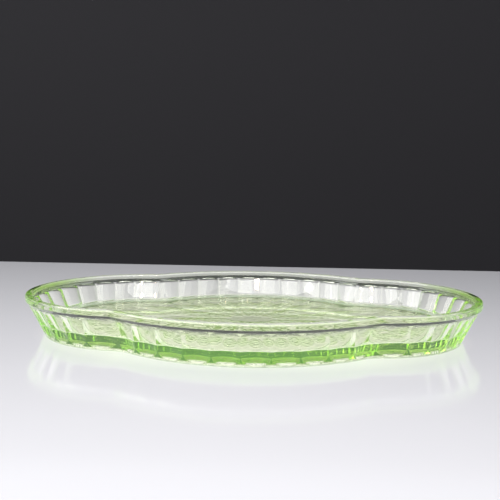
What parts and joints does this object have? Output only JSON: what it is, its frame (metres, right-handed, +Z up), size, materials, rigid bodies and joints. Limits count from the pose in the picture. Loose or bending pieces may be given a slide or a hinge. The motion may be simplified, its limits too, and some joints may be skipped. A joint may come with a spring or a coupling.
{
  "type": "uranium glass dish",
  "caption": "Shallow four-lobed pressed glass tray with a thick floor, fluted sloping walls and a plain rim.",
  "frame": {"origin": "middle of the face the tray stands on, below the middle of its plan", "axes": "+Z up, X along the tray's length, Y across it"},
  "size_m": [0.28, 0.188, 0.025],
  "materials": {
    "glass_floor": "fire-polished pale yellow-green glass, deepest in colour where it is thickest",
    "glass_wall": "fire-polished pale yellow-green glass",
    "glass_rim": "fire-polished yellow-green glass"
  },
  "bodies": {
    "root": {"foot_ring": "glass_floor", "floor_slab": "glass_floor", "front_wall": "glass_wall", "back_wall": "glass_wall", "left_wall": "glass_wall", "right_wall": "glass_wall", "front_rim": "glass_rim", "back_rim": "glass_rim", "left_rim": "glass_rim", "right_rim": "glass_rim"}
  },
  "joints": []
}
